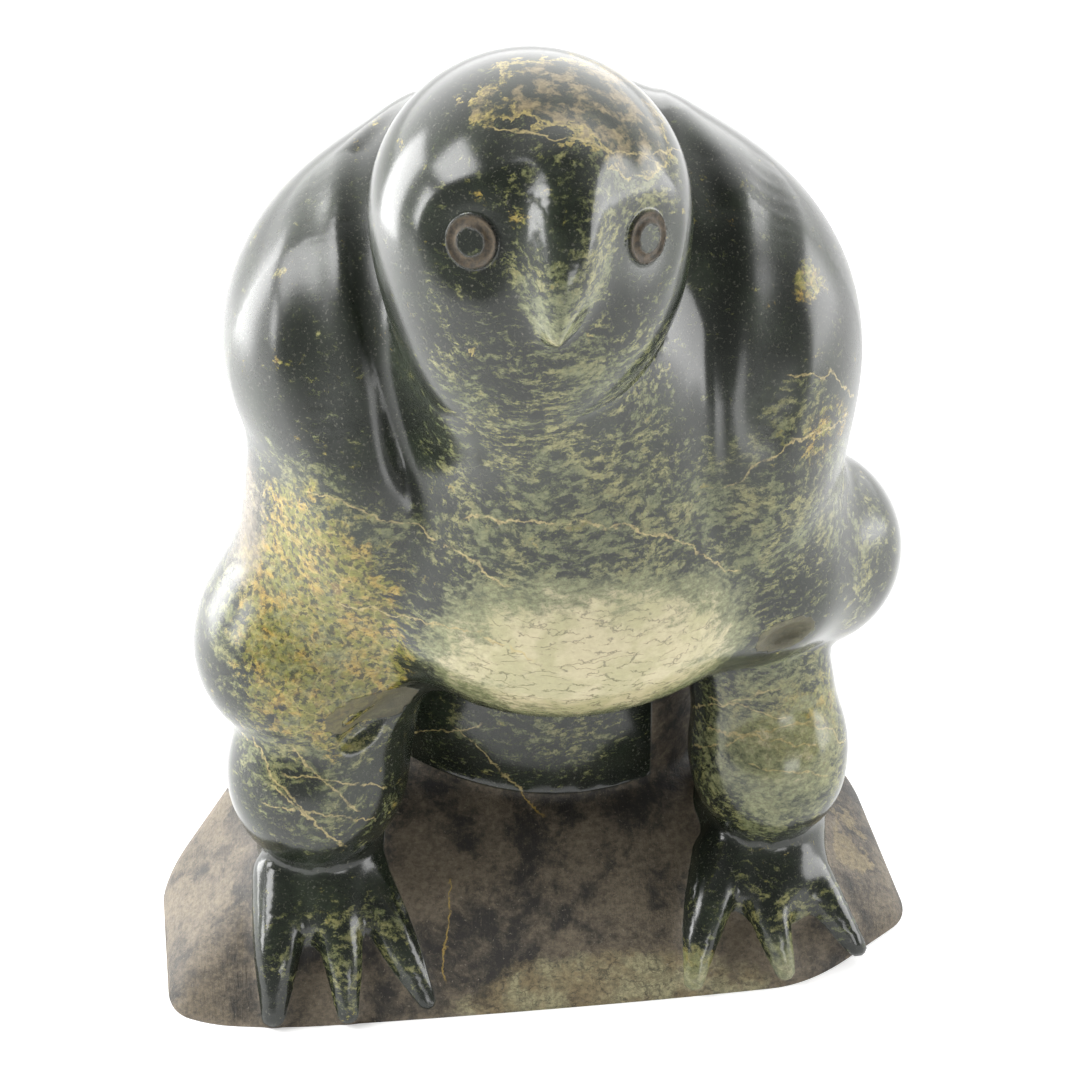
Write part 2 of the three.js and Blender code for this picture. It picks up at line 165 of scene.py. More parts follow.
ANKLES = [
    dict(start=(-87, -30, 46), end=(-86, -52, 26), radii=(26, 23)),
    dict(start=(83, -30, 42), end=(84, -52, 22), radii=(26, 22)),
]
TOES = [
    dict(path=[(-103, -50, 39), (-107, -75, 24), (-110, -90, 5)], radii=[12, 9, 4.5]),
    dict(path=[(-86, -54, 38), (-83, -77, 24), (-82, -92, 5)], radii=[10.5, 8, 4]),
    dict(path=[(-72, -50, 36), (-62, -73, 23), (-52, -88, 5)], radii=[11, 7.8, 4]),
    dict(path=[(66, -50, 33), (56, -73, 22), (50, -89, 6)], radii=[12, 8.2, 3.8]),
    dict(path=[(81, -54, 31), (81.5, -74, 21), (85.5, -87, 6)], radii=[10, 7.5, 3.8]),
    dict(path=[(95, -50, 29), (104, -65, 20), (115, -77, 6)], radii=[10.5, 7.5, 3.8]),
]
FOOT_BLEND = 3
TOE_SEAT = 2.5
BLOCK_BLEND = 3

BLOCK_ROUNDING = 8
BLOCK_CUTS = [
    ((-10, -28, 51), (0.08, -0.62, 1)),
    ((10, -95, 0), (0.05, -1, 0.8)),
    ((10, -95, 0), (-0.02, -1, 0.8)),
    ((-10, -28, 53), (0.08, 0, 1)),
    ((-128, -91, 0), (-0.3, -0.8, 1)),
    ((-141, -88, 0), (-0.8, -1, 0.3)),
    ((-150, -40, 0), (-1, -0.02, 0.1)),
    ((-148, -40, 9), (-0.81, 0, 1)),
    ((-149, -5, 8), (-1, 0.85, 0.2)),
    ((122, -69, 0), (0.75, -1, 0.5)),
    ((137, -30, 0), (1, 0.12, 0.2)),
    ((134, -30, 10), (0.6, -0.1, 1)),
    ((134, 16, 0), (1, 0.9, 0.3)),
    ((0, 86, 0), (0.05, 1, 0.25)),
]

TUBE_STEPS = 8

# The least number divided by, and a distance beyond all of the stone.
TINY = 1e-6
FAR = 1e4


# ---------------------------------------------------------------- distance field, millimetres
def join(a, b, blend):
    """Union of two distances with a fillet about as wide as blend."""
    if blend <= 0:
        return np.minimum(a, b)
    h = np.clip(0.5 + 0.5 * (b - a) / blend, 0, 1)
    return b + (a - b) * h - blend * h * (1 - h)


def trim(a, b, blend):
    return -join(-a, -b, blend)


def carve(a, tool, rounding):
    return trim(a, -tool, rounding)


def ellipsoid(p, centre, radii, lean=0, **other):
    """Distance to an ellipsoid that leans about the Y axis by lean degrees."""
    dx, dy, dz = (p[k] - np.float32(centre[k]) for k in range(3))
    if lean:
        c, s = math.cos(math.radians(lean)), math.sin(math.radians(lean))
        dx, dz = c * dx - s * dz, s * dx + c * dz
    near = np.sqrt((dx / radii[0]) ** 2 + (dy / radii[1]) ** 2 + (dz / radii[2]) ** 2)
    far = np.sqrt(
        (dx / radii[0] ** 2) ** 2 + (dy / radii[1] ** 2) ** 2 + (dz / radii[2] ** 2) ** 2)
    return near * (near - 1) / np.maximum(far, TINY)


def taper(p, start, end, radii, **other):
    """Distance to a round bar that tapers from start to end."""
    span = np.array(end, float) - np.array(start, float)
    q = [p[k] - np.float32(start[k]) for k in range(3)]
    t = np.clip(sum(q[k] * span[k] for k in range(3)) / (span @ span), 0, 1).astype(np.float32)
    off = np.sqrt(sum((q[k] - t * np.float32(span[k])) ** 2 for k in range(3)))
    return off - (radii[0] + (radii[1] - radii[0]) * t)


def catmull_rom(points, steps):
    """Points on a uniform Catmull-Rom curve through the given ones."""
    pts = np.array(points, float)
    pts = np.vstack([2 * pts[0] - pts[1], pts, 2 * pts[-1] - pts[-2]])
    out = []
    for i in range(1, len(pts) - 2):
        a, b, c, d = pts[i - 1:i + 3]
        for n in range(steps):
            t = n / steps
            out.append(0.5 * (2 * b + (c - a) * t + (2 * a - 5 * b + 4 * c - d) * t ** 2
                              + (3 * b - a - 3 * c + d) * t ** 3))
    out.append(pts[-2])
    return np.array(out)


def bars_along(path, radii, **other):
    """Short tapered bars along a smooth curve; the radius follows its own curve."""
    centres = catmull_rom(path, TUBE_STEPS)
    sizes = catmull_rom([(r,) for r in radii], TUBE_STEPS)[:, 0]
    return [
        dict(start=centres[i], end=centres[i + 1], radii=(sizes[i], sizes[i + 1]))
        for i in range(len(centres) - 1)
    ]


def nearest_bar(p, bars):
    best = np.full_like(p[0], np.inf)
    for bar in bars:
        best = np.minimum(best, taper(p, **bar))
    return best


def join_masses(p, masses):
    d = np.full_like(p[0], FAR)
    for mass in masses:
        d = join(d, ellipsoid(p, **mass), mass["blend"])
    return d


def look_up(table, position):
    return np.interp(position, [row[0] for row in table], [row[1] for row in table])


def add_wings(p, d, trunk):
    """The folded wings are a second layer over the trunk that stops in a step at its edge."""
    x, y, z = p
    height = z + CUT_SLOPE * y
    side = x - CUT_SKEW * y
    fade = np.clip((WING_FADE["start"] - y) / WING_FADE["length"], 0, 1)
    left = trim(trunk - LEFT_WING["thickness"] * fade, side - look_up(LEFT_EDGE, height),
                LEFT_WING["rounding"])
    right = trim(trunk - RIGHT_WING["thickness"] * fade, look_up(RIGHT_EDGE, height) - side,
                 RIGHT_WING["rounding"])
    w = BACK_WING
    reach = np.abs(x - w["axis"])
    rise = (w["thickness"] * np.clip((y - w["start"]) / w["fade"], 0, 1)
            * np.clip((w["top"] - z) / w["top_fade"], 0, 1))
    parting = w["gap"] + w["opening"] * np.maximum(z - w["foot"], 0) - reach
    tips = w["tip"] - w["tip_slope"] * reach - z
    back = trim(trim(trunk - rise, parting, w["rounding"]), tips, w["rounding"])
    return join(join(d, np.minimum(left, right), WING_BLEND), back, w["blend"])


def eye_place(p, eye):
    """Distance along an eye's axis from its outer face, and across from the axis."""
    centre = np.array(HEAD["centre"], float)
    axis = np.array(eye, float) - centre
    reach = np.linalg.norm(axis)
    axis /= reach
    q = [p[k] - np.float32(centre[k]) for k in range(3)]
    along = sum(q[k] * np.float32(axis[k]) for k in range(3))
    across = np.sqrt(np.maximum(sum(v * v for v in q) - along ** 2, 0))
    return along - reach, across


def cut_eyes(p, d):
    """Each eye is a flat disc left standing in a shallow dish, with a ring cut round its pupil."""
    for eye in EYES:
        along, across = eye_place(p, eye)
        dish = np.sqrt(across ** 2 + (along - EYE_DISH["offset"]) ** 2) - EYE_DISH["radius"]
        d = carve(d, dish, EYE_DISH["rounding"])
        face = trim(along + EYE_DISC["sink"], across - EYE_DISC["radius"], EYE_DISC["rounding"])
        disc = trim(face, -EYE_DISC["depth"] - along, EYE_DISC["rounding"])
        d = join(d, disc, EYE_DISC["blend"])
        ring = np.hypot(across - EYE_RING["radius"], along + EYE_DISC["sink"]) - EYE_RING["bar"]
        d = carve(d, ring, EYE_RING["rounding"])
    return d


def leg(p, knee, thigh):
    return join(ellipsoid(p, **knee), taper(p, **thigh), thigh["blend"])


def block(p):
    d = None
    for point, outward in BLOCK_CUTS:
        n = np.array(outward, float) / np.linalg.norm(outward)
        off = sum((p[k] - np.float32(point[k])) * np.float32(n[k]) for k in range(3))
        d = off if d is None else trim(d, off, BLOCK_ROUNDING)
    return d


LEFT_FLUTE_BARS = bars_along(**LEFT_FLUTE)
RIGHT_FLUTE_BARS = bars_along(**RIGHT_FLUTE)
BEAK_BARS = bars_along(**BEAK)
BEAK_SIDE_BARS = [bar for side in BEAK_SIDES for bar in bars_along(**side)]
TOE_BARS = [bar for toe in TOES for bar in bars_along(**toe)]


def feet(p):
    ankles = np.minimum(*[taper(p, **ankle) for ankle in ANKLES])
    return join(ankles, nearest_bar(p, TOE_BARS), FOOT_BLEND)


def bird(p):
    """Signed distance to the bird above its feet, negative inside the stone."""
    trunk = join_masses(p, TRUNK)
    d = join(trunk, join_masses(p, BREAST), BREAST_BLEND)
    d = add_wings(p, d, trunk)
    left_lobe = join(ellipsoid(p, **LEFT_LOBE), taper(p, **LEFT_SLEEVE), LEFT_SLEEVE["blend"])
    d = join(d, left_lobe, LEFT_LOBE_BLEND)
    d = join(d, join_masses(p, RIGHT_LOBE), RIGHT_LOBE_BLEND)
    d = carve(d, nearest_bar(p, LEFT_FLUTE_BARS), LEFT_FLUTE["rounding"])
    d = carve(d, nearest_bar(p, RIGHT_FLUTE_BARS), RIGHT_FLUTE["rounding"])
    d = join(d, join(ellipsoid(p, **HEAD), ellipsoid(p, **CHEEKS), CHEEKS["blend"]), NECK_BLEND)
    d = join(d, ellipsoid(p, **THROAT), THROAT["blend"])
    d = join(d, nearest_bar(p, BEAK_BARS), BEAK["blend"])
    d = carve(d, nearest_bar(p, BEAK_SIDE_BARS), BEAK_SIDE_ROUNDING)
    d = cut_eyes(p, d)
    d = join(d, ellipsoid(p, **TAIL), TAIL["blend"])
    d = join(d, np.minimum(leg(p, **LEFT_LEG), leg(p, **RIGHT_LEG)), LEG_BLEND)
    for hollow in HOLLOWS:
        d = carve(d, ellipsoid(p, **hollow), hollow["rounding"])
    return d


def carving(p):
    return join(bird(p), join(block(p), feet(p), TOE_SEAT), BLOCK_BLEND)


# ---------------------------------------------------------------- fine skin over the field
def sampled_field(axes):
    """The field on the grid, worked out finely only where the surface can pass."""
    coarse_axes = [axis[::COARSE] for axis in axes]
    coarse = np.stack(np.meshgrid(*coarse_axes, indexing="ij")).astype(np.float32)
    far = carving(coarse)
    field = far
    for k in range(3):
        field = np.repeat(field, COARSE, axis=k)
    field = field[tuple(slice(0, len(axis)) for axis in axes)].copy()
    near = np.argwhere(np.abs(field) < COARSE * SKIN_STEP * COARSE_CELLS_NEAR)
    points = [axes[k][near[:, k]].astype(np.float32) for k in range(3)]
    field[tuple(near.T)] = carving(points)
    return field


def surface_net(field, axes):
    """Vertices and quads of the zero surface: one vertex in each cell that the surface crosses."""
    cells = tuple(n - 1 for n in field.shape)
    count = np.zeros(cells, np.float32)
    total = np.zeros(cells + (3,), np.float32)
    inside = field < 0
    crossings = []
    for k in range(3):
        low = [slice(None)] * 3
        high = [slice(None)] * 3
        low[k], high[k] = slice(0, -1), slice(1, None)
        crossed = inside[tuple(low)] != inside[tuple(high)]
        index = np.argwhere(crossed)
        a, b = field[tuple(low)][crossed], field[tuple(high)][crossed]
        place = np.stack([axes[m][index[:, m]] for m in range(3)], 1)
        place[:, k] += (axes[k][index[:, k] + 1] - axes[k][index[:, k]]) * a / (a - b)
        crossings.append((k, index, inside[tuple(low)][crossed]))
        m, n = [other for other in range(3) if other != k]
        for dm in (0, -1):
            for dn in (0, -1):
                cell = index.copy()
                cell[:, m] += dm
                cell[:, n] += dn
                ok = ((cell >= 0) & (cell < cells)).all(1)
                np.add.at(count, tuple(cell[ok].T), 1)
                np.add.at(total, tuple(cell[ok].T), place[ok])
    used = count > 0
    number = np.full(cells, -1)
    number[used] = np.arange(used.sum())
    quads = []
    for k, index, low_inside in crossings:
        m, n = (k + 1) % 3, (k + 2) % 3
        ok = (index[:, m] > 0) & (index[:, n] > 0)
        ok &= (index[:, m] < cells[m]) & (index[:, n] < cells[n])
        index, low_inside = index[ok], low_inside[ok]
        ring = []
        for dm, dn in ((-1, -1), (0, -1), (0, 0), (-1, 0)):
            cell = index.copy()
            cell[:, m] += dm
            cell[:, n] += dn
            ring.append(number[tuple(cell.T)])
        ring = np.stack(ring, 1)
        ring[~low_inside] = ring[~low_inside][:, ::-1]
        quads.append(ring)
    return total[used] / count[used][:, None], np.vstack(quads)


def slope_at(points):
    """The field and its gradient at each point."""
    p = [points[:, k].astype(np.float32) for k in range(3)]
    gradient = np.zeros_like(points)
    for k in range(3):
        ahead, behind = list(p), list(p)
        ahead[k] = p[k] + np.float32(PROBE)
        behind[k] = p[k] - np.float32(PROBE)
        gradient[:, k] = (carving(ahead) - carving(behind)) / (2 * PROBE)
    return carving(p), gradient


def settle(points, flat):
    """Moves points onto the surface; those on the underside keep their height."""
    for _ in range(SETTLE_STEPS):
        value, gradient = slope_at(points)
        gradient[flat, 2] = 0
        steep = np.maximum((gradient ** 2).sum(1), LEAST_SLOPE)
        move = np.clip(value / steep, -SETTLE_LIMIT, SETTLE_LIMIT)
        points = points - move[:, None] * gradient
    return points


def unit(vectors):
    return vectors / np.maximum(np.linalg.norm(vectors, axis=1), TINY)[:, None]


# ---------------------------------------------------------------- build the mesh
low, high = (np.array(corner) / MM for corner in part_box(NODE))
axes = [
    np.arange(math.floor((low[k] - SKIN_MARGIN) / SKIN_STEP),
              math.ceil((high[k] + SKIN_MARGIN) / SKIN_STEP) + 1) * SKIN_STEP
    for k in range(3)
]
vertices, quads = surface_net(sampled_field(axes), axes)

# Finer faces where the smallest carving is: centre, radius, and cuts across each edge there.
FINE_SPOTS = [(eye, 15, 3) for eye in EYES] + [((-5, -110, 325), 19, 1)]

mesh = bpy.data.meshes.new("bird")
mesh.from_pydata(vertices.tolist(), [], quads.tolist())
bm = bmesh.new()
bm.from_mesh(mesh)
for centre, radius, cuts in FINE_SPOTS:
    centre = Vector(centre)
    chosen = [
        e for e in bm.edges
        if all((v.co - centre).length < radius for v in e.verts)
    ]
    bmesh.ops.subdivide_edges(bm, edges=chosen, cuts=cuts, use_grid_fill=True)
geometry = bm.verts[:] + bm.edges[:] + bm.faces[:]
bmesh.ops.bisect_plane(
    bm, geom=geometry, dist=SAW_WELD, plane_co=(0, 0, 0), plane_no=(0, 0, 1), clear_inner=True)
bmesh.ops.triangulate(bm, faces=bm.faces[:])
bm.verts.index_update()
points = np.array([v.co[:] for v in bm.verts])
flat = np.abs(points[:, 2]) < SAWN_HEIGHT
points = settle(points, flat)
# The solid's facets cut its box a little short of the true curves, so the skin is fitted to that box.
box_low, box_high = (np.array(corner) / MM for corner in cad_box)
points = box_low + (points - points.min(0)) * (box_high - box_low) / np.ptp(points, axis=0)
for vertex, place in zip(bm.verts, points):
    vertex.co = place
rim = [e for e in bm.edges if e.is_boundary]
filled = bmesh.ops.triangle_fill(bm, edges=rim, use_beauty=True, normal=(0, 0, -1))
under = set(f for f in filled["geom"] if isinstance(f, bmesh.types.BMFace))
for face in under:
    face.normal_update()
    if face.normal.z > 0:
        face.normal_flip()
for face in bm.faces:
    face.smooth = True
bm.verts.index_update()
bm.faces.index_update()
under_index = {face.index for face in under}
bm.to_mesh(mesh)
bm.free()
points = np.array([v.co[:] for v in mesh.vertices])
outward = unit(slope_at(points)[1])

# The toe ridges run slantwise over the grid, so their normals are averaged with their neighbours'.
TOES_TOP = 64
RIDGE_PASSES = 3
links = np.array([edge.vertices[:] for edge in mesh.edges])
by_toes = points[:, 2] < TOES_TOP
for _ in range(RIDGE_PASSES):
    total = outward.copy()
    np.add.at(total, links[:, 0], outward[links[:, 1]])
    np.add.at(total, links[:, 1], outward[links[:, 0]])
    outward[by_toes] = unit(total[by_toes])

# ---------------------------------------------------------------- where the stone changes, mm
# Spots: centre, radii, weight. Each fades from its middle to nothing at its radii.
FLECK_BASE = 0.18
FLECK_SPOTS = [
    ((6, -92, 186), (104, 60, 62), 0.42),
    ((-2, -90, 250), (74, 60, 70), 0.5),
    ((4, -92, 306), (76, 60, 44), 0.32),
    ((24, -84, 352), (44, 40, 24), 0.45),
    ((-86, -62, 214), (36, 44, 40), 0.5),
    ((-95, -50, 165), (62, 60, 72), 0.5),
    ((98, -40, 165), (56, 60, 60), 0.5),
    ((82, -62, 224), (50, 50, 50), 0.45),
    ((-90, -60, 92), (46, 50, 44), 0.45),
    ((80, -60, 92), (50, 50, 46), 0.85),
    ((0, -30, 80), (60, 30, 40), 0.4),
    ((6, -70, 366), (60, 46, 34), 0.35),
    ((84, -80, 20), (50, 40, 30), 0.5),
    ((-80, -80, 20), (40, 40, 30), 0.45),
    ((20, 80, 190), (70, 60, 90), 0.4),
    ((-70, 60, 250), (60, 60, 60), 0.3),
]
CREAM_SPOTS = [
    ((10, -94, 164), (82, 50, 50), 1.25),
    ((50, -92, 8), (14, 20, 20), 0.7),
    ((86, -90, 8), (14, 20, 20), 0.7),
    ((84, -62, 94), (48, 40, 46), 0.62),
    ((-92, -50, 150), (50, 40, 60), 0.35),
]
OCHRE_SPOTS = [
    ((-86, -60, 166), (42, 48, 68), 1.25),
    ((88, -58, 106), (36, 34, 18), 0.75),
    ((98, -56, 90), (20, 20, 26), 0.5),
    ((92, -46, 230), (30, 30, 16), 0.5),
    ((90, -36, 282), (8, 12, 9), 0.9),
    ((20, -94, 2), (78, 26, 26), 1.4),
    ((-2, 70, 120), (50, 40, 40), 0.6),
]
TAN_SPOTS = [
    ((22, -60, 374), (46, 38, 32), 0.95),
    ((30, -76, 362), (24, 18, 12), 0.8),
    ((-18, -64, 377), (26, 26, 14), 0.5),
    ((122, -30, 22), (14, 26, 18), 0.8),
]
BLUSH_SPOTS = [
    ((-114, -30, 190), (22, 30, 40), 0.85),
    ((-140, -60, 15), (34, 40, 30), 0.45),
    ((-120, -20, 34), (40, 30, 20), 0.6),
]
SATIN_SPOTS = [
    ((-100, -40, 270), (70, 80, 90), 1.6),
    ((100, -30, 240), (60, 80, 100), 1.6),
    ((-124, -30, 150), (50, 70, 60), 2.0),
]
ROUGH_SPOTS = [
    ((-57, -64, 124), (32, 26, 16), 0.5),
]
# Cut stone lines the hollows, as far from their skin as reach says.
HOLLOW_CUT = dict(weight=1.5, reach=2.5)
# The beak gets flecked and pale below the height called top, and fully so one growth further down.
BEAK_REACH = 3
BEAK_FLECK = dict(weight=0.7, top=356, growth=30)
BEAK_CREAM = dict(weight=0.75, top=334, growth=22)
# Raw block also shows at the tail's skin, right of x and in front of y.
BARE_TAIL = dict(near=3, x=43, y=-5)
SEAT_LIMIT = 9
# What the eye mask says away from the eyes.
NO_EYE = 99.0


def spot_mask(p, spots, base=0.0):
    total = np.full(len(p), float(base))
    for centre, radii, weight in spots:
        reach = (((p - np.array(centre, float)) / np.array(radii, float)) ** 2).sum(1)
        total += weight * np.clip(1 - reach, 0, 1)
    return total


def below(height, weight, top, growth):
    return weight * np.clip((top - height) / growth, 0, 1)


p = [points[:, k].astype(np.float32) for k in range(3)]
seat = np.minimum(bird(p), feet(p)) - block(p)
tail_skin = np.abs(ellipsoid(p, TAIL["centre"], TAIL["radii"]))
bare = np.minimum(p[0] - BARE_TAIL["x"], BARE_TAIL["y"] - p[1])
bare = np.where(tail_skin < BARE_TAIL["near"], bare, -SEAT_LIMIT)
seat = np.maximum(seat, np.clip(bare, -SEAT_LIMIT, SEAT_LIMIT))
eye_band = np.full(len(points), NO_EYE)
for eye in EYES:
    along, across = eye_place(p, eye)
    off = np.where(np.abs(along) < EYE_DISC["depth"], np.abs(across - EYE_RING["radius"]), NO_EYE)
    eye_band = np.minimum(eye_band, off)
MASKS = dict(
    fleck=spot_mask(points, FLECK_SPOTS, FLECK_BASE),
    cream=spot_mask(points, CREAM_SPOTS),
    ochre=spot_mask(points, OCHRE_SPOTS),
    tan=spot_mask(points, TAN_SPOTS),
    rough=spot_mask(points, ROUGH_SPOTS),
    blush=spot_mask(points, BLUSH_SPOTS),
    satin=spot_mask(points, SATIN_SPOTS),
    block=seat,
    eye_band=eye_band,
)
on_beak = np.clip(1 - nearest_bar(p, BEAK_BARS) / BEAK_REACH, 0, 1)
MASKS["fleck"] += on_beak * below(points[:, 2], **BEAK_FLECK)
MASKS["cream"] += on_beak * below(points[:, 2], **BEAK_CREAM)
for hollow in HOLLOWS:
    skin = np.abs(ellipsoid(p, hollow["centre"], hollow["radii"]))
    MASKS["rough"] += HOLLOW_CUT["weight"] * np.clip(HOLLOW_CUT["reach"] - skin, 0, 1)
for name, values in MASKS.items():
    layer = mesh.attributes.new(name, "FLOAT", "POINT")
    layer.data.foreach_set("value", values.astype(np.float32))

mesh.transform(Matrix.Scale(MM, 4))
corner_vertex = np.zeros(len(mesh.loops), int)
mesh.loops.foreach_get("vertex_index", corner_vertex)
normals = outward[corner_vertex]
for polygon in mesh.polygons:
    if polygon.index in under_index:
        normals[polygon.loop_start:polygon.loop_start + polygon.loop_total] = (0, 0, -1)
mesh.normals_split_custom_set(normals.tolist())
bird_piece = bpy.data.objects.new("bird", mesh)
bpy.context.scene.collection.objects.link(bird_piece)


# ---------------------------------------------------------------- stone
# Colours as linear red, green, blue.
DARK = (0.010, 0.013, 0.009)
DEEP = (0.022, 0.029, 0.018)
OLIVE = (0.060, 0.070, 0.028)
LEAF = (0.168, 0.182, 0.086)
GOLD_LEAF = (0.275, 0.260, 0.108)
PALE_LEAF = (0.225, 0.236, 0.118)
DUST = (0.180, 0.175, 0.140)
CREAM = (0.480, 0.425, 0.262)
BUTTER = (0.390, 0.362, 0.200)
CRACKLE = (0.090, 0.085, 0.050)
MOSS = (0.195, 0.190, 0.034)
OCHRE = (0.400, 0.272, 0.055)
UMBER = (0.130, 0.070, 0.030)
STRAW = (0.430, 0.345, 0.110)
TAN = (0.270, 0.210, 0.105)
BLUSH = (0.300, 0.245, 0.180)
VEIN = (0.460, 0.370, 0.160)
RUST = (0.092, 0.066, 0.036)
RUST_DARK = (0.026, 0.022, 0.014)
CUT_STONE = (0.185, 0.160, 0.092)
BLOCK_DARK = (0.014, 0.012, 0.009)
BLOCK_BROWN = (0.160, 0.128, 0.084)
BLOCK_PALE = (0.175, 0.138, 0.096)
BLOCK_SPECK = (0.360, 0.310, 0.230)

# Noises: scale per millimetre, detail, roughness, stretch along x, y and z.
NOISES = dict(
    drift=(0.020, 3, 0.50, (1, 1, 1)),
    curl=(0.090, 4, 0.60, (1, 1, 1)),
    crumb=(0.350, 4, 0.70, (1, 1, 1)),
    cloud=(0.035, 5, 0.60, (1, 1, 1)),
    wisp=(0.300, 9, 0.76, (0.62, 0.8, 1.25)),
    gather=(0.045, 3, 0.55, (1, 1, 1)),
    hue=(0.060, 4, 0.60, (1, 1, 1)),
    speck=(0.900, 4, 0.70, (1, 1, 1)),
    blotch=(0.085, 8, 0.68, (1, 1, 1)),
    mottle=(0.130, 6, 0.65, (1, 1, 1)),
    stain=(0.300, 5, 0.60, (1, 1, 1)),
    pit=(0.420, 3, 0.60, (1, 1, 1)),
    crack=(0.230, 3, 0.60, (0.6, 0.8, 1)),
    patch=(0.030, 8, 0.74, (1, 1, 1)),
    smudge=(0.055, 9, 0.78, (1, 1, 1)),
    grit=(0.450, 6, 0.80, (1, 1, 1)),
    scratch=(1.500, 3, 0.60, (1, 0.1, 0.1)),
    rasp=(0.900, 5, 0.70, (0.25, 1, 1)),
    smear=(0.060, 4, 0.60, (1, 1, 1)),
    pore=(1.100, 4, 0.60, (1, 1, 1)),
    tooth=(0.350, 8, 0.75, (1, 1, 1)),
    breaks=(0.200, 3, 0.60, (1, 1, 1)),
    shade=(0.550, 7, 0.80, (0.8, 0.9, 1.2)),
)
# How far the noises push the pattern about, in millimetres.
DRIFT_REACH = 22
CURL_REACH = 9
CRUMB_REACH = 3

# Each effect starts at the first value and is full at the second.
LIMITS = dict(
    cloud=(0.42, 0.66), fleck_body=(-0.02, 0.04), fleck_crest=(0.01, 0.10), hue=(0.42, 0.60),
    speck=(0.57, 0.68), shade=(0.38, 0.62), pale=(0.22, 0.62), cream=(0.55, 1.00), crack=(0.060, 0.0),
    crack_field=(0.45, 0.55), ochre=(0.34, 0.60), moss=(0.47, 0.62), umber=(0.53, 0.66),
    net=(0.09, 0.02), pit=(0.52, 0.58), tan=(0.46, 0.54), tan_crust=(0.45, 0.50),
    tan_inside=(0.66, 0.53), tan_grain=(0.46, 0.60), blush=(0.3, 0.8), breaks=(0.34, 0.50),
    cut=(0.40, 0.62), ring=(2.3, 1.6), ring_tone=(0.38, 0.62), on_block=(-2.0, -0.8),
    patch=(0.42, 0.57), smudge=(0.50, 0.66), grit=(0.50, 0.66), block_speck=(0.60, 0.70),
    band=(0.35, 0.80), scratch=(0.58, 0.75), block_blush=(0.3, 0.8), chip=(0.45, 0.6),
)
# How strongly each effect covers what is under it.
STRENGTHS = dict(
    fleck=0.92, crest=0.85, speck=0.55, pale=0.86, crack=0.65, ochre=0.94, umber=0.75, net=0.55,
    pit=0.80, tan=0.85, crust=0.80, blush=0.60, vein=0.75, cut=0.75, smudge=0.55, grit=0.65,
    block_speck=0.55, band=0.80, scratch=0.30, block_blush=0.45, chip=0.7,
)
# How far a noise breaks up the edge of each mask.
RAGGED = dict(
    fleck=1.2, ochre=4.2, tan=2.4, cream=2.2, blush=2.4, rough=0.5, eye_band=3.0, block_blush=1.5,
    band=2.0,
)
GRAIN_MIX = 0.5
FLECK_LEVELS = (0.625, 0.440)
POLISH = (0.13, 0.22)
SATIN = 0.10
MATTE = (0.48, 0.70)
SHADE = 0.5
SHADE_ON_CREAM = 0.12
PORE_RELIEF = 0.035
SCRATCH_RELIEF = 0.5
CRACK_RELIEF = 0.35
BUMP = dict(strength=0.6, distance=0.8)
IOR = 1.52
NET_SCALE = 0.17
CRACK_SCALE = 0.21
CRACK_STRETCH = (0.35, 0.8, 1.3)
# Vein sheets: each pair of points lies on the surface, the sheet runs inwards along VEIN_DIP.
VEIN_DIP = (0.08, 0.8, -0.58)
VEINS = [
    ((-85, -60, 223), (-45, -73, 211)), ((-45, -73, 211), (-22, -89, 200)),
    ((-74, -66, 177), (-33, -88, 180)), ((-33, -88, 180), (-12, -95, 171)),
    ((-32, -82, 224), (8, -92, 225)), ((8, -92, 225), (34, -87, 214)),
    ((34, -87, 214), (62, -76, 189)),
    ((-116, -50, 115), (-104, -62, 97)), ((-104, -62, 97), (-86, -71, 77)),
    ((-106, -60, 84), (-70, -66, 78)), ((-96, -62, 108), (-76, -68, 86)),
    ((52, -31, 92), (80, -54, 116)), ((54, -47, 87), (92, -58, 102)),
    ((58, -50, 112), (84, -58, 106)), ((60, -52, 98), (96, -58, 92)), ((70, -56, 86), (100, -58, 78)),
    ((-98, -64, 100), (-62, -66, 92)), ((-104, -60, 92), (-80, -70, 70)),
    ((92, -58, 102), (112, -50, 88)),
    ((60, -70, 224), (85, -62, 235)), ((85, -62, 235), (104, -42, 226)),
    ((82, -56, 256), (98, -47, 251)), ((98, -47, 251), (109, -34, 232)),
    ((-50, -10, 71), (-26, -22, 83)), ((-33, -20, 81), (-4, -30, 48)),
    ((-20, -76, 371), (30, -78, 358)), ((24, -80, 362), (44, -58, 350)),
    ((-44, -80, 10), (-40, -58, 36)),
]
VEIN_WIDTHS = (0.1, 0.55)
VEIN_REACH = 0.62
VEIN_FADE = 0.85
VEIN_WANDER = 10


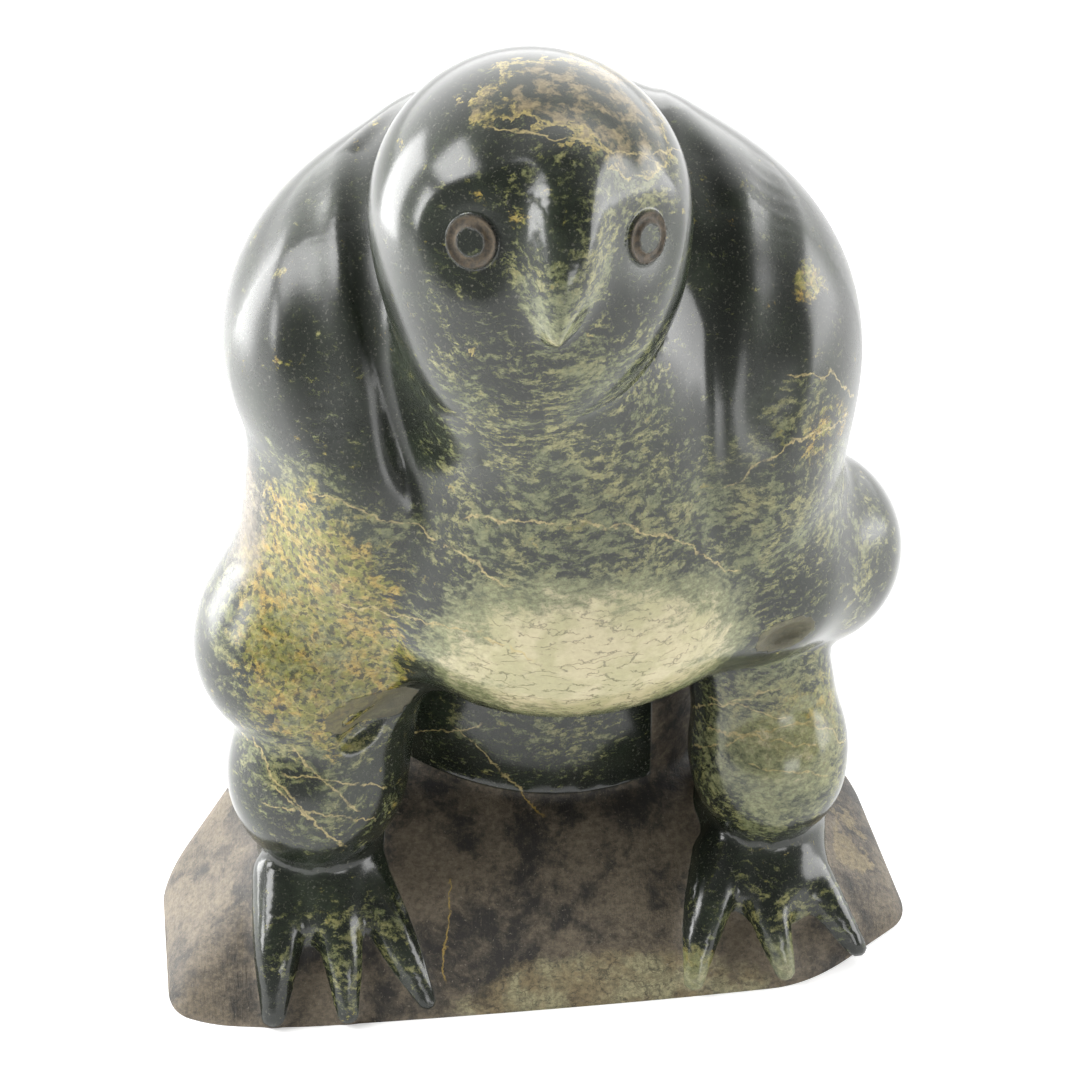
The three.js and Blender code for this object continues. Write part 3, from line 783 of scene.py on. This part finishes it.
class Graph:
    """Short calls that add shader nodes and join them; a value is a number, a tuple or a socket."""

    def __init__(self, tree):
        self.tree = tree

    def add(self, kind, inputs=(), **settings):
        made = self.tree.nodes.new(kind)
        for name, value in settings.items():
            setattr(made, name, value)
        for name, value in dict(inputs).items():
            self.put(made.inputs[name], value)
        return made

    def put(self, socket, value):
        if isinstance(value, bpy.types.NodeSocket):
            self.tree.links.new(value, socket)
        elif isinstance(value, tuple) and len(value) == 3 and socket.type == "RGBA":
            socket.default_value = (*value, 1)
        else:
            socket.default_value = value

    def math(self, operation, a, b=0.0, clamp=False):
        made = self.add("ShaderNodeMath", {0: a, 1: b}, operation=operation, use_clamp=clamp)
        return made.outputs[0]

    def vector(self, operation, a, b=(0, 0, 0), output="Vector"):
        return self.add("ShaderNodeVectorMath", {0: a, 1: b}, operation=operation).outputs[output]

    def scaled(self, vector, factor):
        made = self.add("ShaderNodeVectorMath", {0: vector}, operation="SCALE")
        self.put(made.inputs["Scale"], factor)
        return made.outputs["Vector"]

    def ramp(self, value, start, end, low=0.0, high=1.0):
        """Goes smoothly from low to high as value goes from start to end."""
        return self.add("ShaderNodeMapRange", {
            "Value": value, "From Min": start, "From Max": end, "To Min": low, "To Max": high,
        }, interpolation_type="SMOOTHSTEP").outputs["Result"]

    def rise(self, value, name, strength=1.0):
        """The effect called name, from nothing to strength."""
        return self.ramp(value, *LIMITS[name], 0.0, strength)

    def mix(self, factor, a, b):
        made = self.add("ShaderNodeMix", data_type="RGBA")
        for index, value in ((0, factor), (6, a), (7, b)):
            self.put(made.inputs[index], value)
        return made.outputs[2]

    def blend(self, factor, a, b):
        """The same as mix, for plain values."""
        made = self.add("ShaderNodeMix", data_type="FLOAT")
        for index, value in ((0, factor), (2, a), (3, b)):
            self.put(made.inputs[index], value)
        return made.outputs[0]

    def noise(self, place, name, output="Fac"):
        scale, detail, roughness, stretch = NOISES[name]
        return self.add("ShaderNodeTexNoise", {
            "Vector": self.vector("MULTIPLY", place, stretch), "Scale": scale, "Detail": detail,
            "Roughness": roughness,
        }).outputs[output]

    def push(self, place, name, reach):
        """A vector up to half of reach long, wandering with the noise called name."""
        centred = self.vector("SUBTRACT", self.noise(place, name, "Color"), (0.5, 0.5, 0.5))
        return self.scaled(centred, reach)

    def ragged(self, value, noise, amount):
        """A mask with its edge broken up by a noise."""
        return self.math("ADD", value, self.math("MULTIPLY", self.math("SUBTRACT", noise, 0.5), amount))

    def cell_edge(self, place, scale):
        return self.add("ShaderNodeTexVoronoi", {"Vector": place, "Scale": scale},
                        feature="DISTANCE_TO_EDGE").outputs["Distance"]

    def attribute(self, name):
        return self.add(
            "ShaderNodeAttribute", attribute_name=name, attribute_type="GEOMETRY").outputs["Fac"]


def vein_lines(g, place):
    """How strongly the vein sheets colour a point; each sheet wanders a little."""
    wander = g.vector("ADD", place, g.push(place, "curl", VEIN_WANDER))
    dip = Vector(VEIN_DIP).normalized()
    veins = 0.0
    for start, end in VEINS:
        a, b = Vector(start), Vector(end)
        across = tuple((b - a).cross(dip).normalized())
        off = g.vector("DOT_PRODUCT", g.vector("SUBTRACT", wander, tuple(a)), across, output="Value")
        line = g.ramp(g.math("ABSOLUTE", off), *VEIN_WIDTHS, 1.0, 0.0)
        away = g.vector("DISTANCE", wander, tuple((a + b) / 2), output="Value")
        reach = (b - a).length * VEIN_REACH
        held = g.ramp(away, reach * VEIN_FADE, reach, 1.0, 0.0)
        veins = g.math("MAXIMUM", veins, g.math("MULTIPLY", line, held))
    return veins


class Pattern:
    """What the layers of stone share: places that noises are read at, noises, masks and edges."""

    def __init__(self, g):
        self.masks = {name: g.attribute(name) for name in MASKS}
        self.place = g.scaled(g.add("ShaderNodeTexCoord").outputs["Object"], 1 / MM)
        self.crumbled = g.vector("ADD", self.place, g.push(self.place, "crumb", CRUMB_REACH))
        self.warped = g.vector("ADD", self.crumbled, g.push(self.place, "drift", DRIFT_REACH))
        self.curled = g.vector("ADD", self.crumbled, g.push(self.place, "curl", CURL_REACH))
        self.wisp = g.noise(self.warped, "wisp")
        self.blotch = g.noise(self.warped, "blotch")
        self.grained = g.blend(GRAIN_MIX, self.blotch, self.wisp)
        self.mottle = g.noise(self.curled, "mottle")
        self.smudge = g.noise(self.curled, "smudge")
        self.speck = g.noise(self.place, "speck")
        self.grit = g.noise(self.place, "grit")
        self.scratch = g.noise(self.place, "scratch")
        self.rasp = g.noise(self.place, "rasp")
        self.hue = g.rise(g.noise(self.warped, "hue"), "hue")
        self.breaks = g.rise(g.noise(self.place, "breaks"), "breaks")
        self.tan = self.edge(g, "tan", self.blotch)
        self.cream = self.edge(g, "cream", self.grained)
        self.creamed = g.rise(self.cream, "cream")
        self.cut = g.rise(self.edge(g, "rough", self.blotch), "cut")
        self.ring = g.rise(self.edge(g, "eye_band", self.grit), "ring")
        self.on_block = g.rise(self.masks["block"], "on_block")
        self.crack = self.crack_lines(g)
        self.cracked = g.math("MULTIPLY", self.crack, self.creamed)
        veins = g.math("MULTIPLY", vein_lines(g, self.place), self.breaks)
        self.veins = g.math("MULTIPLY", veins, STRENGTHS["vein"])
        # Fine dark grain, fainter on the cream.
        shade = g.rise(g.noise(self.place, "shade"), "shade")
        depth = g.ramp(self.creamed, 0.0, 1.0, SHADE, SHADE_ON_CREAM)
        self.shade = g.math("MULTIPLY", shade, depth)

    def edge(self, g, name, noise):
        return g.ragged(self.masks[name], noise, RAGGED[name])

    def crack_lines(self, g):
        cells = g.cell_edge(g.vector("MULTIPLY", self.curled, CRACK_STRETCH), CRACK_SCALE)
        patches = g.rise(g.noise(self.place, "crack"), "crack_field", STRENGTHS["crack"])
        return g.math("MULTIPLY", g.rise(cells, "crack"), patches)


def green_ground(g, s):
    """Dark green with olive flecks that lie in level wisps, and a little dust."""
    gather = g.noise(s.warped, "gather")
    level = g.ramp(s.edge(g, "fleck", gather), 0.0, 1.0, *FLECK_LEVELS)
    above = g.math("SUBTRACT", s.wisp, level)
    leaf = g.mix(s.hue, LEAF, GOLD_LEAF)
    colour = g.mix(g.rise(g.noise(s.warped, "cloud"), "cloud"), DARK, DEEP)
    colour = g.mix(g.rise(above, "fleck_body", STRENGTHS["fleck"]), colour, OLIVE)
    colour = g.mix(g.rise(above, "fleck_crest", STRENGTHS["crest"]), colour, leaf)
    return g.mix(g.rise(s.speck, "speck", STRENGTHS["speck"]), colour, DUST)


def add_ochre(g, s, colour):
    """Moss, ochre and umber mottled together, with a straw net and dark pits."""
    tone = g.mix(g.rise(s.mottle, "moss"), MOSS, OCHRE)
    tone = g.mix(g.rise(g.noise(s.crumbled, "stain"), "umber", STRENGTHS["umber"]), tone, UMBER)
    tone = g.mix(g.rise(g.cell_edge(s.curled, NET_SCALE), "net", STRENGTHS["net"]), tone, STRAW)
    tone = g.mix(g.rise(g.noise(s.crumbled, "pit"), "pit", STRENGTHS["pit"]), tone, DARK)
    ochred = g.rise(s.edge(g, "ochre", s.grained), "ochre", STRENGTHS["ochre"])
    return g.mix(ochred, colour, tone)


def add_tan(g, s, colour):
    """Grains of tan with green left between, and a crumbly straw crust along their edge."""
    grains = g.mix(g.rise(s.mottle, "tan_grain"), DEEP, TAN)
    colour = g.mix(g.rise(s.tan, "tan", STRENGTHS["tan"]), colour, grains)
    inside = g.rise(s.tan, "tan_inside", STRENGTHS["crust"])
    crust = g.math("MULTIPLY", g.rise(s.tan, "tan_crust"), inside)
    return g.mix(g.math("MULTIPLY", crust, s.breaks), colour, STRAW)


def add_cream(g, s, colour):
    """Pale green that turns to cream with fine dark cracks, and a pinkish blush."""
    colour = g.mix(g.rise(s.cream, "pale", STRENGTHS["pale"]), colour, PALE_LEAF)
    colour = g.mix(s.creamed, colour, g.mix(s.hue, CREAM, BUTTER))
    blushed = g.rise(s.edge(g, "blush", s.grained), "blush", STRENGTHS["blush"])
    colour = g.mix(blushed, colour, BLUSH)
    return g.mix(s.cracked, colour, CRACKLE)


def add_veins(g, s, colour):
    colour = g.mix(s.veins, colour, VEIN)
    return g.mix(s.shade, colour, DARK)


def add_cuts(g, s, colour):
    """Unpolished cuts, and the rusty rings of the eyes."""
    cut = g.math("MULTIPLY", s.cut, STRENGTHS["cut"])
    colour = g.mix(cut, colour, g.mix(s.rasp, DEEP, CUT_STONE))
    return g.mix(s.ring, colour, g.mix(g.rise(s.grit, "ring_tone"), RUST_DARK, RUST))


def block_stone(g, s):
    """The sawn and rasped block: brown patches, a pale band at its front edge, chips and grit."""
    blushed = g.ragged(s.masks["blush"], s.blotch, RAGGED["block_blush"])
    band = g.ragged(s.masks["ochre"], s.smudge, RAGGED["band"])
    banded = g.mix(s.crack, g.mix(s.hue, TAN, BUTTER), DARK)
    raw = g.mix(g.rise(g.noise(s.warped, "patch"), "patch"), BLOCK_DARK, BLOCK_BROWN)
    for value, name, tone in (
        (s.smudge, "smudge", BLOCK_PALE),
        (blushed, "block_blush", BLOCK_PALE),
        (band, "band", banded),
        (s.tan, "chip", TAN),
        (s.grit, "grit", BLOCK_DARK),
        (s.speck, "block_speck", BLOCK_SPECK),
        (s.scratch, "scratch", BLOCK_PALE),
    ):
        raw = g.mix(g.rise(value, name, STRENGTHS[name]), raw, tone)
    raw = g.mix(s.shade, raw, BLOCK_DARK)
    return g.mix(s.veins, raw, OCHRE)


def finished(g, s, colour):
    """Polish with slight smears, satin on the wings, matte where the stone was left cut."""
    matte = g.math("MAXIMUM", g.math("MAXIMUM", s.cut, s.ring), s.on_block)
    satin = g.math("MULTIPLY", g.math("MINIMUM", s.masks["satin"], 1.0), SATIN)
    polish = g.math("ADD", g.blend(g.noise(s.warped, "smear"), *POLISH), satin)
    roughness = g.blend(matte, polish, g.blend(s.rasp, *MATTE))
    fine = g.math("MULTIPLY", g.noise(s.place, "pore"), PORE_RELIEF)
    scratches = g.math("MULTIPLY", s.scratch, SCRATCH_RELIEF)
    coarse = g.math("ADD", g.noise(s.place, "tooth"), scratches)
    cracks = g.math("MULTIPLY", s.cracked, CRACK_RELIEF)
    bump = g.add("ShaderNodeBump", {
        "Height": g.math("SUBTRACT", g.blend(matte, fine, coarse), cracks),
        "Strength": BUMP["strength"], "Distance": BUMP["distance"] * MM,
    })
    return g.add("ShaderNodeBsdfPrincipled", {
        "Base Color": colour, "Roughness": roughness, "Normal": bump.outputs["Normal"], "IOR": IOR,
    })


def stone_material():
    material = bpy.data.materials.new("veined stone")
    material.use_nodes = True
    tree = material.node_tree
    tree.nodes.clear()
    g = Graph(tree)
    s = Pattern(g)
    colour = green_ground(g, s)
    for add_layer in (add_ochre, add_tan, add_cream, add_veins, add_cuts):
        colour = add_layer(g, s, colour)
    colour = g.mix(s.on_block, colour, block_stone(g, s))
    output = g.add("ShaderNodeOutputMaterial")
    tree.links.new(finished(g, s, colour).outputs["BSDF"], output.inputs["Surface"])
    return material


bird_piece.data.materials.append(stone_material())
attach(bird_piece, "root")
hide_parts(NODE)

# ---------------------------------------------------------------- floor, light and camera
# A matte pale floor that gives off a little light of its own, for a white ground without shadow.
FLOOR = dict(size=14.0, gap=0.0002, colour=(0.9, 0.9, 0.9, 1), roughness=0.9, glow=0.35)
WHITE = (1, 1, 1, 1)
floor_height = cad_box[0][2] - FLOOR["gap"]
bpy.ops.mesh.primitive_plane_add(size=FLOOR["size"], location=(0, 0, floor_height))
floor = bpy.context.object
floor.name = "floor"
floor_material = bpy.data.materials.new("pale floor")
floor_material.use_nodes = True
floor_shader = floor_material.node_tree.nodes["Principled BSDF"]
floor_shader.inputs["Base Color"].default_value = FLOOR["colour"]
floor_shader.inputs["Roughness"].default_value = FLOOR["roughness"]
floor_shader.inputs["Emission Color"].default_value = WHITE
floor_shader.inputs["Emission Strength"].default_value = FLOOR["glow"]
floor.data.materials.append(floor_material)


def direction(azimuth, elevation):
    """Unit vector from the bird towards a place: azimuth 0 is in front of it, 90 on its right."""
    a, e = math.radians(azimuth), math.radians(elevation)
    return Vector((math.sin(a) * math.cos(e), -math.cos(a) * math.cos(e), math.sin(e)))


AIM = Vector((0, -0.02, 0.2))
# Softboxes: azimuth and elevation in degrees, distance, width and height in metres, watts.
SOFTBOXES = [
    ("window", -86, 42, 1.7, 0.75, 0.70, 18),
    ("left strip", -117, 2, 0.90, 0.36, 0.95, 11),
    ("crescent", -86, 12, 1.7, 0.42, 0.60, 9),
    ("right wall", 92, -2, 1.9, 1.5, 1.8, 46),
    ("front card", 26, 4, 1.8, 0.70, 0.34, 4),
]
for name, azimuth, elevation, distance, width, height, power in SOFTBOXES:
    light = bpy.data.lights.new(name, "AREA")
    light.shape = "RECTANGLE"
    light.size, light.size_y, light.energy = width, height, power
    lamp = bpy.data.objects.new(name, light)
    lamp.location = AIM + direction(azimuth, elevation) * distance
    lamp.rotation_mode = "QUATERNION"
    lamp.rotation_quaternion = (AIM - lamp.location).to_track_quat("-Z", "Y")
    bpy.context.scene.collection.objects.link(lamp)

# White room: brightness in front of the bird, low and high, and the heights between which it
# falls; brightness behind it, near and deep, and the depths between which that grows; and where
# front turns to back.
ROOM = dict(
    front=(0.55, 0.2), fall=(0.0, 0.7), behind=(1.4, 4.0), deep=(0.2, 0.95), turn=(-0.45, 0.4),
)
world = bpy.data.worlds.new("room")
bpy.context.scene.world = world
world.use_nodes = True
world.node_tree.nodes.clear()
w = Graph(world.node_tree)
facing = w.add("ShaderNodeSeparateXYZ", {0: w.add("ShaderNodeTexCoord").outputs["Generated"]})
front = w.ramp(facing.outputs["Z"], *ROOM["fall"], *ROOM["front"])
behind = w.ramp(facing.outputs["Y"], *ROOM["deep"], *ROOM["behind"])
glow = w.blend(w.ramp(facing.outputs["Y"], *ROOM["turn"]), front, behind)
background = w.add("ShaderNodeBackground", {"Color": (1, 1, 1), "Strength": glow})
world.node_tree.links.new(
    background.outputs[0], w.add("ShaderNodeOutputWorld").inputs["Surface"])

CAMERA = dict(azimuth=-6, elevation=36, distance=1.3, target=(0.0005, 0, 0.1525))
SENSOR = 36.0
FOCAL = 115.667
CLIP = (0.05, 50)
lens = bpy.data.cameras.new("camera")
lens.sensor_width = SENSOR
lens.lens = FOCAL
lens.clip_start, lens.clip_end = CLIP
camera = bpy.data.objects.new("camera", lens)
target = Vector(CAMERA["target"])
back = direction(CAMERA["azimuth"], CAMERA["elevation"])
camera.location = target + back * CAMERA["distance"]
camera.rotation_mode = "QUATERNION"
camera.rotation_quaternion = (-back).to_track_quat("-Z", "Y")
bpy.context.scene.collection.objects.link(camera)
bpy.context.scene.camera = camera
bpy.context.scene.view_settings.view_transform = "Standard"
